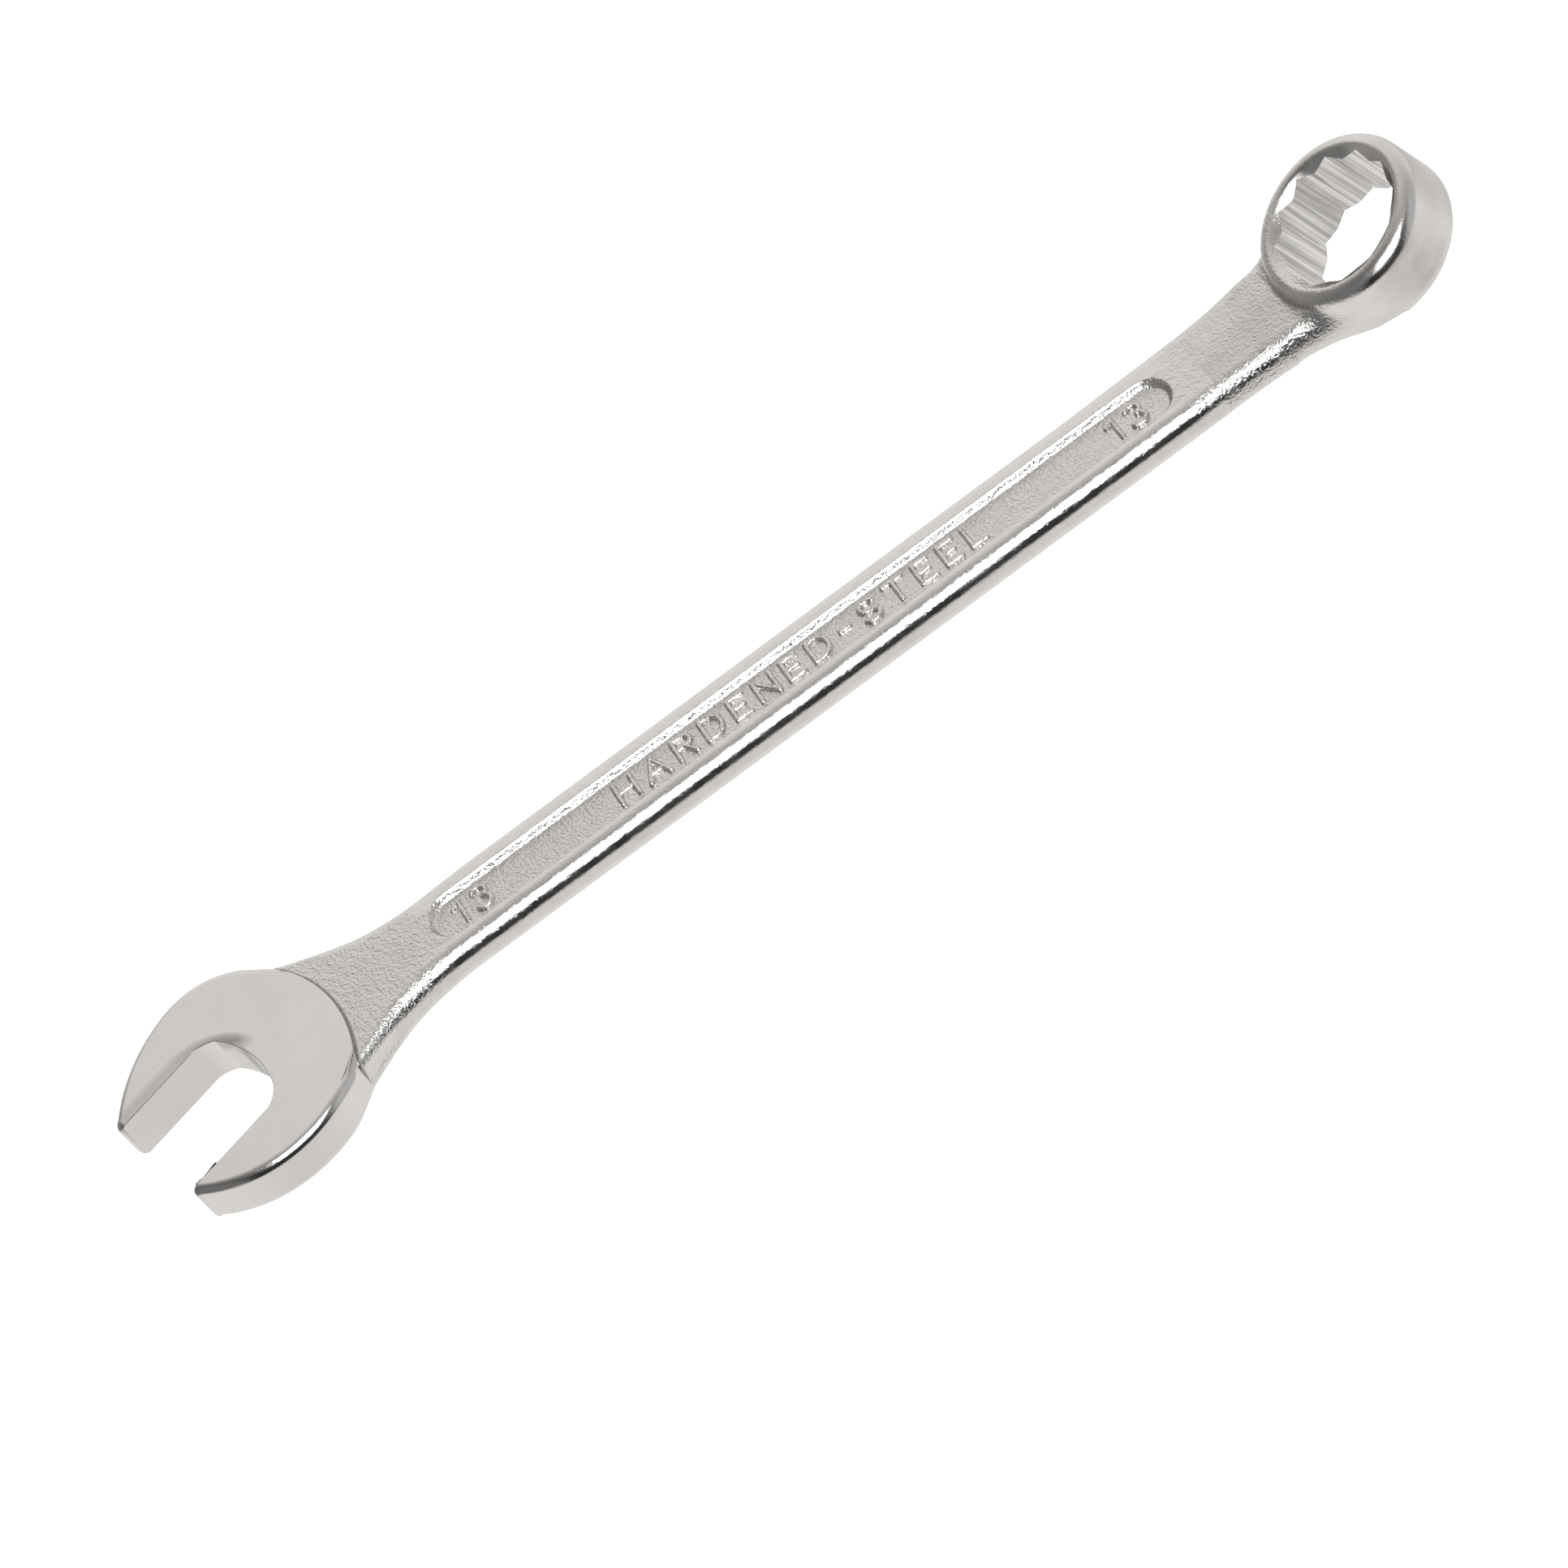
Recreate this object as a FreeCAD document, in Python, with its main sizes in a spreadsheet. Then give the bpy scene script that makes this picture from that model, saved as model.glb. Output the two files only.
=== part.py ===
import FreeCAD, Part
import math
import os

import Sketcher

# A 13 mm combination wrench: a drop-forged open end and ring end on one I-section shank.
# Millimetres, +Z up. The origin is the centre of the nut held in the open jaw, at half
# thickness. +X runs along the shank to the ring, +Y is towards the longer jaw.

DIMS = {
    # open end
    "jaw_gap": 13.1,           # across the two jaw flats, for a 13 mm hexagon
    "jaw_turn": 15.0,          # jaw axis turned from the shank axis, degrees
    "head_thick": 5.6,
    "head_rim_r": 0.9,         # rounding of the head's outer rim
    "short_jaw_r": 15.4,       # round outside of the shorter jaw
    "long_jaw_r": 18.575,      # outside of the longer jaw
    "cheek_r": 9.88,           # tighter bend behind it
    "tip_r": 0.4,              # corners of the jaw tips
    "step_r": 17.5,            # edge of the raised head face, seen from above
    # throat of the slot, in the jaw's own turned axes
    "flat_end_low_x": 5.6, "flat_end_top_x": 5.3,
    "throat_low_x": 8.15, "throat_low_y": -3.6,
    "throat_top_x": 7.2, "throat_top_y": 5.4,
    "throat_r": 11.8,
    "low_corner_r": 3.6, "top_corner_r": 6.0,
    "mouth_x": -9.0,           # slot cutter starts outside the jaw tips
    "long_tip_x": -7.7558, "long_tip_y": 5.6,
    "cheek_x": 2.0680, "cheek_y": 14.8313,
    "crown_x": 12.3166, "crown_y": 13.0578,
    "short_tip_x": -3.42, "short_tip_y": -8.5152,
    "short_back_x": 16.2345, "short_back_y": -7.8561,
    "back_low_x": 20.0, "back_low_y": -4.5129,
    "back_top_x": 18.5, "back_top_y": 7.5722,
    # where the head hands over to the shank
    "top_join_x": 13.3973, "top_join_y": 12.0990,
    "low_join_x": 16.90, "low_join_y": -7.2652,
    # shank
    "axis_y": 2.2,             # shank axis beside the nut centre
    "shank_wide": 10.3,
    "shank_thick": 4.5,
    "shank_edge_r": 1.4,
    "top_flare_x": 31.5, "top_flare_r": 36.877,
    "top_root_x": 11.0, "top_root_y": 13.5731,
    "low_flare_x": 33.0, "low_flare_r": 32.192,
    "low_root_x": 14.0, "low_root_y": -9.1550,
    "shank_end_x": 128.0,
    "pocket_start_x": 30.6,
    "pocket_end_x": 124.4,
    "pocket_wide": 5.9,
    "pocket_deep": 0.8,
    "pocket_draft": 36.0,
    # ring end
    "ring_x": 148.8, "ring_z": 3.87,
    "ring_tilt": 20.0,         # ring axis leans from the shank's upright, degrees
    "ring_outer_r": 9.6,
    "ring_tall": 8.9,
    "ring_rim_r": 1.7,
    "ring_heel_r": 1.5,
    "bore_corner_r": 7.45,     # twelve outer corners of the double hexagon
    "bore_crest_r": 6.78,      # twelve crests between them: 13.1 mm across flats
    "neck_mid_x": 136.0, "neck_mid_wide": 11.4, "neck_mid_thick": 4.7, "neck_mid_z": 0.5,
    "neck_in_x": 142.5, "neck_in_wide": 15.0, "neck_in_thick": 5.8, "neck_in_z": 1.2,
    # raised marks on the pocket floor
    "mark_tall": 3.6,
    "mark_stroke": 0.7,
    "mark_raise": 0.45,
    "mark_gap": 0.75,
    "open_mark_x": 35.6,
    "ring_mark_x": 118.7,
    "lettering_x": 77.2,
}

WORDS = "HARDENED-STEEL"
SIZE = "13"

doc = FreeCAD.newDocument("combination_wrench")
sheet = doc.addObject("Spreadsheet::Sheet", "dims")


def fill_sheet():
    for row, (name, value) in enumerate(DIMS.items(), start=1):
        sheet.set(f"A{row}", name)
        sheet.set(f"B{row}", str(value))
        sheet.setAlias(f"B{row}", name)
    doc.recompute()


def lin(**terms):
    """A sum of sheet values: its number now, and the expression that keeps it live."""
    value = sum(k * DIMS[name] for name, k in terms.items())
    text = " + ".join(f"{k:.9g} * dims.{name}" for name, k in terms.items())
    return value, text.replace("+ -", "- ")


def sheet_point(name):
    return lin(**{name + "_x": 1}), lin(**{name + "_y": 1})


def new_body(name):
    body = doc.addObject("PartDesign::Body", name)
    body.Label = name
    return body


def plane_of(body, role):
    return next(f for f in body.Origin.OriginFeatures if f.Role == role)


def new_sketch(body, name, role, offset=None):
    sketch = body.newObject("Sketcher::SketchObject", name)
    sketch.AttachmentSupport = [(plane_of(body, role), "")]
    sketch.MapMode = "FlatFace"
    if offset is not None:
        sketch.AttachmentOffset = offset
    return sketch


def bind(obj, prop, text):
    obj.setExpression(prop, text)


def arc_middle(a, b, radius, side):
    """Middle point of the arc from a to b; side +1 bulges right of the way from a to b."""
    half = (b - a).Length / 2
    sagitta = radius - math.sqrt(radius * radius - half * half)
    along = (b - a).normalize()
    return (a + b) * 0.5 + FreeCAD.Vector(along.y, -along.x, 0) * (side * sagitta)


def outline(sketch, corners, arcs):
    """Close a loop of lines and arcs through corners, each corner held by the sheet.

    corners is a list of (x, y) pairs from lin(); arcs maps the number of the corner that an
    arc starts from to (radius from lin(), side).
    """
    points = [FreeCAD.Vector(x[0], y[0], 0) for x, y in corners]
    ends = []
    for i, a in enumerate(points):
        b = points[(i + 1) % len(points)]
        if i in arcs:
            radius, side = arcs[i]
            middle = arc_middle(a, b, radius[0], side)
            index = sketch.addGeometry(Part.Arc(a, middle, b), False)
            ends.append((index, 1, 2) if side > 0 else (index, 2, 1))
        else:
            index = sketch.addGeometry(Part.LineSegment(a, b), False)
            ends.append((index, 1, 2))
    for i, (index, first, last) in enumerate(ends):
        following, start, _ = ends[(i + 1) % len(ends)]
        sketch.addConstraint(Sketcher.Constraint("Coincident", index, last, following, start))
    for i, (x, y) in enumerate(corners):
        index, first, _ = ends[i]
        hold(sketch, Sketcher.Constraint("DistanceX", index, first, x[0]), x[1])
        hold(sketch, Sketcher.Constraint("DistanceY", index, first, y[0]), y[1])
    for i, (radius, _) in arcs.items():
        hold(sketch, Sketcher.Constraint("Radius", ends[i][0], radius[0]), radius[1])


def hold(sketch, constraint, text):
    number = sketch.addConstraint(constraint)
    bind(sketch, f"Constraints[{number}]", text)


def pad(body, name, sketch, length):
    feature = body.newObject("PartDesign::Pad", name)
    feature.Profile = sketch
    feature.Midplane = True
    feature.Length = length[0]
    bind(feature, "Length", length[1])
    return feature


def pocket_through(body, name, sketch):
    feature = body.newObject("PartDesign::Pocket", name)
    feature.Profile = sketch
    feature.Type = "ThroughAll"
    feature.Midplane = True
    return feature


def round_edges(body, name, base, keep, radius):
    """Fillet those edges of base for which keep(edge) is true."""
    doc.recompute()
    chosen = [f"Edge{n}" for n, edge in enumerate(base.Shape.Edges, start=1) if keep(edge)]
    feature = body.newObject("PartDesign::Fillet", name)
    feature.Base = (base, chosen)
    feature.Radius = radius[0]
    bind(feature, "Radius", radius[1])
    return feature


def turned(x, y, z, axis, angle):
    return FreeCAD.Placement(FreeCAD.Vector(x, y, z), FreeCAD.Rotation(axis, angle))


def middle_of(edge):
    return edge.valueAt((edge.FirstParameter + edge.LastParameter) / 2)


def through(edge):
    """True for the edges that run through the head from face to face."""
    return abs(edge.Vertexes[0].Point.z - edge.Vertexes[-1].Point.z) > 2


def build_open_end():
    body = new_body("open_end_head")
    face = new_sketch(body, "head_outline", "XY_Plane")
    names = ["long_tip", "short_tip", "short_back", "back_low", "back_top", "crown", "cheek"]
    corners = [sheet_point(name) for name in names]
    arcs = {1: (lin(short_jaw_r=1), 1), 5: (lin(cheek_r=1), 1), 6: (lin(long_jaw_r=1), 1)}
    outline(face, corners, arcs)
    blank = pad(body, "head_blank", face, lin(head_thick=1))
    half = DIMS["head_thick"] / 2

    def outer_rim(edge):
        mid = middle_of(edge)
        across_mouth = mid.x < -4 and abs(mid.y) < 4
        return abs(abs(mid.z) - half) < 1e-4 and not across_mouth

    round_edges(body, "head_rim_rounding", blank, outer_rim, lin(head_rim_r=1))

    step = new_sketch(body, "step_outline", "XY_Plane")
    beyond = lin(back_low_x=1.3)
    outline(step, [sheet_point("low_join"), (beyond, lin(low_join_y=1)),
                   (beyond, lin(top_join_y=1)), sheet_point("top_join")],
            {3: (lin(step_r=1), -1)})
    pocket_through(body, "step", step)

    slot = new_sketch(body, "jaw_slot_outline", "XY_Plane",
                      turned(0, 0, 0, FreeCAD.Vector(0, 0, 1), DIMS["jaw_turn"]))
    bind(slot, "AttachmentOffset.Rotation.Angle", "dims.jaw_turn")
    upper, lower = lin(jaw_gap=0.5), lin(jaw_gap=-0.5)
    mouth = lin(mouth_x=1)
    slot_corners = [
        (mouth, lower), (lin(flat_end_low_x=1), lower), sheet_point("throat_low"),
        sheet_point("throat_top"), (lin(flat_end_top_x=1), upper), (mouth, upper),
    ]
    slot_arcs = {1: (lin(low_corner_r=1), 1), 2: (lin(throat_r=1), 1),
                 3: (lin(top_corner_r=1), 1)}
    outline(slot, slot_corners, slot_arcs)
    slotted = pocket_through(body, "jaw_slot", slot)
    round_edges(body, "tip_rounding", slotted,
                lambda edge: through(edge) and middle_of(edge).x < -3, lin(tip_r=1))
    return body


def shank_corners():
    top = lin(shank_wide=0.5, axis_y=1)
    low = lin(shank_wide=-0.5, axis_y=1)
    end = lin(shank_end_x=1)
    return [
        sheet_point("low_root"), (lin(low_flare_x=1), low), (end, low),
        (end, top), (lin(top_flare_x=1), top), sheet_point("top_root"),
    ]


def build_shank():
    body = new_body("shank")
    face = new_sketch(body, "shank_outline", "XY_Plane")
    outline(face, shank_corners(), {0: (lin(low_flare_r=1), -1), 4: (lin(top_flare_r=1), -1)})
    blank = pad(body, "shank_blank", face, lin(shank_thick=1))
    half = DIMS["shank_thick"] / 2
    root_x = max(DIMS["top_root_x"], DIMS["low_root_x"])

    def long_edge(edge):
        mid = middle_of(edge)
        return abs(abs(mid.z) - half) < 1e-4 and root_x < mid.x < DIMS["shank_end_x"] - 0.1

    round_edges(body, "shank_edge_rounding", blank, long_edge, lin(shank_edge_r=1))

    seat = new_sketch(body, "head_seat_outline", "XY_Plane")
    far, wide = lin(top_root_x=0.5), 1.5
    outline(seat, [sheet_point("low_join"), sheet_point("top_join"),
                   (lin(top_join_x=1), lin(top_join_y=wide)), (far, lin(top_join_y=wide)),
                   (far, lin(low_join_y=wide)), (lin(low_join_x=1), lin(low_join_y=wide))],
            {0: (lin(step_r=1), 1)})
    pocket_through(body, "head_seat", seat)
    for side, name in ((1, "front"), (-1, "back")):
        cut_recess(body, name, side)
    return body


def cut_recess(body, name, side):
    """The long round-ended recess that leaves the shank an I section."""
    half_thick = lin(shank_thick=0.5 * side)
    flip = 0 if side > 0 else 180
    sketch = new_sketch(body, f"{name}_recess_outline", "XY_Plane",
                        turned(0, DIMS["axis_y"], half_thick[0], FreeCAD.Vector(1, 0, 0), flip))
    bind(sketch, "AttachmentOffset.Base.y", "dims.axis_y")
    bind(sketch, "AttachmentOffset.Base.z", half_thick[1])
    up, down = lin(pocket_wide=0.5), lin(pocket_wide=-0.5)
    left = lin(pocket_start_x=1, pocket_wide=0.5)
    right = lin(pocket_end_x=1, pocket_wide=-0.5)
    first, last = lin(pocket_start_x=1), lin(pocket_end_x=1)
    middle = lin(pocket_wide=0)
    corners = [(left, down), (right, down), (last, middle), (right, up), (left, up), (first, middle)]
    radius = lin(pocket_wide=0.5)
    outline(sketch, corners, {1: (radius, 1), 2: (radius, 1), 4: (radius, 1), 5: (radius, 1)})
    feature = body.newObject("PartDesign::Pocket", f"{name}_recess")
    feature.Profile = sketch
    feature.Type = "Length"
    feature.Length = DIMS["pocket_deep"]
    feature.TaperAngle = -DIMS["pocket_draft"]
    bind(feature, "Length", "dims.pocket_deep")
    bind(feature, "TaperAngle", "-1 * dims.pocket_draft")
    return feature


def rounded_section(body, name, x, z, wide, thick):
    """A cross-section of the neck, across the shank at station x and height z."""
    sketch = new_sketch(body, name, "YZ_Plane",
                        turned(DIMS["axis_y"], z[0], x[0], FreeCAD.Vector(0, 0, 1), 0))
    bind(sketch, "AttachmentOffset.Base.x", "dims.axis_y")
    bind(sketch, "AttachmentOffset.Base.y", z[1])
    bind(sketch, "AttachmentOffset.Base.z", x[1])
    wide_name, thick_name = wide, thick
    corners = []
    arcs = {}
    for number, (sx, sy, flat_first) in enumerate(
            ((-1, -1, False), (1, -1, True), (1, 1, False), (-1, 1, True))):
        along = (lin(**{wide_name: 0.5 * sx, "shank_edge_r": -sx}), lin(**{thick_name: 0.5 * sy}))
        beside = (lin(**{wide_name: 0.5 * sx}), lin(**{thick_name: 0.5 * sy, "shank_edge_r": -sy}))
        pair = [beside, along] if not flat_first else [along, beside]
        arcs[2 * number] = (lin(shank_edge_r=1), 1)
        corners += pair
    outline(sketch, corners, arcs)
    return sketch


def build_ring():
    body = new_body("ring_head")
    start = rounded_section(body, "neck_start", lin(shank_end_x=1), lin(neck_mid_z=0),
                            "shank_wide", "shank_thick")
    middle = rounded_section(body, "neck_middle", lin(neck_mid_x=1), lin(neck_mid_z=1),
                             "neck_mid_wide", "neck_mid_thick")
    inner = rounded_section(body, "neck_inner", lin(neck_in_x=1), lin(neck_in_z=1),
                            "neck_in_wide", "neck_in_thick")
    neck = body.newObject("PartDesign::AdditiveLoft", "neck")
    neck.Profile = start
    neck.Sections = [middle, inner]
    neck.Ruled = False

    profile = new_sketch(body, "ring_profile", "XZ_Plane",
                         turned(DIMS["ring_x"], DIMS["ring_z"], -DIMS["axis_y"],
                                FreeCAD.Vector(0, 0, 1), DIMS["ring_tilt"]))
    bind(profile, "AttachmentOffset.Base.x", "dims.ring_x")
    bind(profile, "AttachmentOffset.Base.y", "dims.ring_z")
    bind(profile, "AttachmentOffset.Base.z", "-1 * dims.axis_y")
    bind(profile, "AttachmentOffset.Rotation.Angle", "dims.ring_tilt")
    inside = lin(bore_crest_r=0.8)
    outer = lin(ring_outer_r=1)
    low, high = lin(ring_tall=-0.5), lin(ring_tall=0.5)
    corners = [
        (inside, low), (lin(ring_outer_r=1, ring_heel_r=-1), low),
        (outer, lin(ring_tall=-0.5, ring_heel_r=1)), (outer, lin(ring_tall=0.5, ring_rim_r=-1)),
        (lin(ring_outer_r=1, ring_rim_r=-1), high), (inside, high),
    ]
    outline(profile, corners, {1: (lin(ring_heel_r=1), 1), 3: (lin(ring_rim_r=1), 1)})
    ring = body.newObject("PartDesign::Revolution", "ring_wall")
    ring.Profile = profile
    ring.ReferenceAxis = (profile, ["V_Axis"])
    ring.Angle = 360

    bore = new_sketch(body, "bore_outline", "XY_Plane",
                      turned(DIMS["ring_x"], DIMS["axis_y"], DIMS["ring_z"],
                             FreeCAD.Vector(0, 1, 0), -DIMS["ring_tilt"]))
    bind(bore, "AttachmentOffset.Base.x", "dims.ring_x")
    bind(bore, "AttachmentOffset.Base.y", "dims.axis_y")
    bind(bore, "AttachmentOffset.Base.z", "dims.ring_z")
    bind(bore, "AttachmentOffset.Rotation.Angle", "-1 * dims.ring_tilt")
    star = []
    for step in range(24):
        name = "bore_corner_r" if step % 2 == 0 else "bore_crest_r"
        angle = math.radians(15 * step)
        star.append((lin(**{name: math.cos(angle)}), lin(**{name: math.sin(angle)})))
    outline(bore, star, {})
    pocket_through(body, "bore", bore)
    return body


def arc_points(cx, cy, rx, ry, first, last, count=9):
    """Points on an ellipse's arc, angles in degrees."""
    turn = [math.radians(first + (last - first) * i / (count - 1)) for i in range(count)]
    return [(cx + rx * math.cos(a), cy + ry * math.sin(a)) for a in turn]


# Letter strokes on a cell 1 high; the number is the cell's width.
GLYPHS = {
    "H": (0.72, [[(0, 0), (0, 1)], [(0.72, 0), (0.72, 1)], [(0, 0.5), (0.72, 0.5)]]),
    "A": (0.84, [[(0, 0), (0.42, 1), (0.84, 0)], [(0.16, 0.34), (0.68, 0.34)]]),
    "R": (0.70, [[(0, 0), (0, 1)] + arc_points(0.42, 0.76, 0.26, 0.24, 90, -90)
                 + [(0, 0.52)], [(0.38, 0.52), (0.70, 0)]]),
    "D": (0.74, [[(0, 0), (0, 1)] + arc_points(0.30, 0.5, 0.44, 0.5, 90, -90)
                 + [(0, 0)]]),
    "E": (0.60, [[(0.60, 0), (0, 0), (0, 1), (0.60, 1)], [(0, 0.5), (0.50, 0.5)]]),
    "N": (0.74, [[(0, 0), (0, 1), (0.74, 0), (0.74, 1)]]),
    "-": (0.50, [[(0.05, 0.5), (0.45, 0.5)]]),
    "S": (0.66, [arc_points(0.33, 0.755, 0.31, 0.245, 25, 235, 11)
                 + arc_points(0.33, 0.245, 0.33, 0.255, 62, -155, 13)]),
    "T": (0.76, [[(0, 1), (0.76, 1)], [(0.38, 1), (0.38, 0)]]),
    "L": (0.56, [[(0, 1), (0, 0), (0.56, 0)]]),
    "1": (0.34, [[(0, 0.78), (0.30, 1), (0.30, 0)]]),
    "3": (0.58, [arc_points(0.27, 0.76, 0.28, 0.24, 150, -75, 11)
                 + arc_points(0.27, 0.27, 0.31, 0.27, 72, -150, 13)]),
}


def stroke_solid(points, half_stroke, height):
    """One stroke with round ends, standing on z = 0."""
    pieces = []
    for a, b in zip(points, points[1:]):
        start, end = FreeCAD.Vector(a[0], a[1], 0), FreeCAD.Vector(b[0], b[1], 0)
        along = (end - start).normalize()
        side = FreeCAD.Vector(-along.y, along.x, 0) * half_stroke
        corners = [start + side, start - side, end - side, end + side, start + side]
        pieces.append(Part.Face(Part.makePolygon(corners)).extrude(FreeCAD.Vector(0, 0, height)))
        pieces.append(Part.makeCylinder(half_stroke, height, end))
    pieces.append(Part.makeCylinder(half_stroke, height, FreeCAD.Vector(*points[0], 0)))
    return pieces[0].fuse(pieces[1:]).removeSplitter()


def raised_text(name, text, centre_x):
    """Raised strokes on the recess floor, reading along +X, as one part."""
    stroke = DIMS["mark_stroke"]
    tall = DIMS["mark_tall"] - stroke
    cells = [GLYPHS[letter] for letter in text]
    widths = [cell[0] * tall + stroke + DIMS["mark_gap"] for cell in cells]
    left = -(sum(widths) - DIMS["mark_gap"]) / 2 + stroke / 2
    letters = []
    for (_, strokes), width in zip(cells, widths):
        solids = []
        for points in strokes:
            placed = [(left + x * tall, (y - 0.5) * tall) for x, y in points]
            solids.append(stroke_solid(placed, stroke / 2, DIMS["mark_raise"]))
        letter = solids[0].fuse(solids[1:]).removeSplitter() if len(solids) > 1 else solids[0]
        letters += letter.Solids
        left += width
    mark = doc.addObject("Part::Feature", name)
    mark.Label = name
    mark.Shape = Part.makeCompound(letters)
    floor_z = DIMS["shank_thick"] / 2 - DIMS["pocket_deep"]
    mark.Placement = FreeCAD.Placement(FreeCAD.Vector(centre_x, DIMS["axis_y"], floor_z),
                                       FreeCAD.Rotation())
    bind(mark, "Placement.Base.y", "dims.axis_y")
    bind(mark, "Placement.Base.z", "0.5 * dims.shank_thick - dims.pocket_deep")
    return mark


def check_and_export(nodes):
    doc.recompute()
    for obj in doc.Objects:
        if "Invalid" in obj.State or "Error" in obj.State:
            raise RuntimeError(f"{obj.Name}: {obj.State}")
    os.makedirs("parts", exist_ok=True)
    for node in nodes:
        shape = node.Shape
        if shape.isNull() or not shape.isValid():
            raise RuntimeError(f"{node.Label}: bad shape")
        box = shape.BoundBox
        print(f"{node.Label}: {len(shape.Solids)} solid(s), {shape.Volume:.1f} mm3, "
              f"x {box.XMin:.2f}..{box.XMax:.2f} y {box.YMin:.2f}..{box.YMax:.2f} "
              f"z {box.ZMin:.2f}..{box.ZMax:.2f}")
        shape.exportStep(f"parts/{node.Label}.step")


fill_sheet()
nodes = [
    build_open_end(),
    build_shank(),
    build_ring(),
    raised_text("size_mark_open_end", SIZE, DIMS["open_mark_x"]),
    raised_text("size_mark_ring_end", SIZE, DIMS["ring_mark_x"]),
    raised_text("raised_lettering", WORDS, DIMS["lettering_x"]),
]
check_and_export(nodes)
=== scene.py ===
import math

import bmesh
import bpy
from mathutils import Matrix, Vector


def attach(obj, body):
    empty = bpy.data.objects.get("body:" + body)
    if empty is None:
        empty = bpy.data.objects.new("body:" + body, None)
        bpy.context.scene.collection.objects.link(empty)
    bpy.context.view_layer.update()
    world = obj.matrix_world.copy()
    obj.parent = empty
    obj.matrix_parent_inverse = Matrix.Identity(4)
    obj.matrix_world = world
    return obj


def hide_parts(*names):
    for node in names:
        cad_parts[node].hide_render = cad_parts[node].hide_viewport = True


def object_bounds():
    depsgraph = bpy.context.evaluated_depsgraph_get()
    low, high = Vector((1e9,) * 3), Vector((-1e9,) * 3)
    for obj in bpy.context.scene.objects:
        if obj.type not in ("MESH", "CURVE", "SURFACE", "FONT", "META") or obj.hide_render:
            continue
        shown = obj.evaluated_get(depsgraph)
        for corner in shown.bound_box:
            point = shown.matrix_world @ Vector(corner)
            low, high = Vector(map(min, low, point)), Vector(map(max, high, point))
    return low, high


# A drop-forged combination wrench. Shapes are worked out in millimetres in the part's own
# frame, which has its origin at the centre of the open end's nut, and each mesh is brought
# to metres when it is finished.

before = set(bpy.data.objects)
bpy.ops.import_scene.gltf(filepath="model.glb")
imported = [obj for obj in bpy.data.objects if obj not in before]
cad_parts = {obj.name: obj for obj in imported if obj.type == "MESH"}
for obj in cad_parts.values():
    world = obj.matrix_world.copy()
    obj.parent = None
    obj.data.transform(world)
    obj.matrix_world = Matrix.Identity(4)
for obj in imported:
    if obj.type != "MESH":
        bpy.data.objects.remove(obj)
cad_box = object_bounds()

MM = 0.001

# Shank: a bar along X with a round-ended recess in each face.
AXIS_Y = 2.2                             # the shank's axis lies beside the nut's centre
HALF_WIDE, HALF_THICK = 5.15, 2.25
EDGE_R = 1.8                             # its edges are almost half round
SHANK_FROM = 12.6                        # inside the open end
BACK_FLARE = (31.5, 36.877)              # where the edge turns out to the head, and its radius
FRONT_FLARE = (33.0, 32.192)
RECESS_FROM, RECESS_TO = 33.55, 121.45   # centres of the recess's round ends
RECESS_HALF, RECESS_DEEP = 2.66, 0.8     # half its width, to the middle of its wall
WALL_RUN = 0.74                          # how far the recess wall takes to come down

# Neck: the last of the shank, which grows and rises into the ring.
NECK_FROM, NECK_RUN = 124.0, 20.0
NECK_END = 145.0
SEAM_X = 128.0                           # where the shank hands over to the ring end
NECK_THICKER, NECK_WIDER, NECK_RISE = 0.91, 3.05, 1.4

# Open end
HEAD_HALF, HEAD_ROUND = 2.8, 0.95        # half its thickness, and the radius of its edges
JAW_HALF = 6.55
JAW_TURN = math.radians(15)
CUT_EDGE = 0.14                          # how much the edges of the cuts are broken
LOW_JOIN, TOP_JOIN = (16.9, -7.2652), (13.3973, 12.0990)
STEP_R = 17.5                            # of the step from join to join

# Ring
RING_CENTRE = Vector((148.8, AXIS_Y, 3.87))
RING_TILT = math.radians(20)
RING_R, RING_HALF = 9.6, 4.38
BORE_CORNER_R, BORE_CREST_R = 7.45, 6.78

# Raised marks, on the recess floor
MARK_TALL, MARK_STROKE, MARK_RAISE, MARK_GAP = 3.6, 0.7, 0.42, 0.75
OPEN_MARK_X, WORDS_X, RING_MARK_X = 35.6, 77.2, 118.7


# --- meshes -------------------------------------------------------------------------------

def keep_mesh(bm, name):
    mesh = bpy.data.meshes.new(name)
    bm.to_mesh(mesh)
    bm.free()
    obj = bpy.data.objects.new(name, mesh)
    bpy.context.scene.collection.objects.link(obj)
    return obj


def bake_modifiers(obj):
    """The mesh that obj's modifiers give becomes its own."""
    graph = bpy.context.evaluated_depsgraph_get()
    made = bpy.data.meshes.new_from_object(obj.evaluated_get(graph))
    obj.modifiers.clear()
    obj.data = made


def cut_away(obj, cutter, solver):
    cut = obj.modifiers.new("cut", "BOOLEAN")
    cut.operation = "DIFFERENCE"
    cut.object = cutter
    cut.solver = solver
    bake_modifiers(obj)
    bpy.data.objects.remove(cutter)


def reskin(obj, voxel_size):
    """One closed skin over everything in obj's mesh."""
    skin = obj.modifiers.new("skin", "REMESH")
    skin.mode = "VOXEL"
    skin.voxel_size = voxel_size


def reshape(obj, change):
    """Opens obj's mesh, lets change(bm) work on it, and puts it back."""
    bm = bmesh.new()
    bm.from_mesh(obj.data)
    change(bm)
    bm.to_mesh(obj.data)
    bm.free()
    obj.data.update()


def close_up(bm):
    """Joins points that coincide and turns every face outwards."""
    bmesh.ops.remove_doubles(bm, verts=bm.verts, dist=1e-4)
    bmesh.ops.recalc_face_normals(bm, faces=bm.faces)


def relax(bm, verts):
    bmesh.ops.smooth_vert(bm, verts=verts, factor=0.5, use_axis_x=True, use_axis_y=True,
                          use_axis_z=True)


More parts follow.
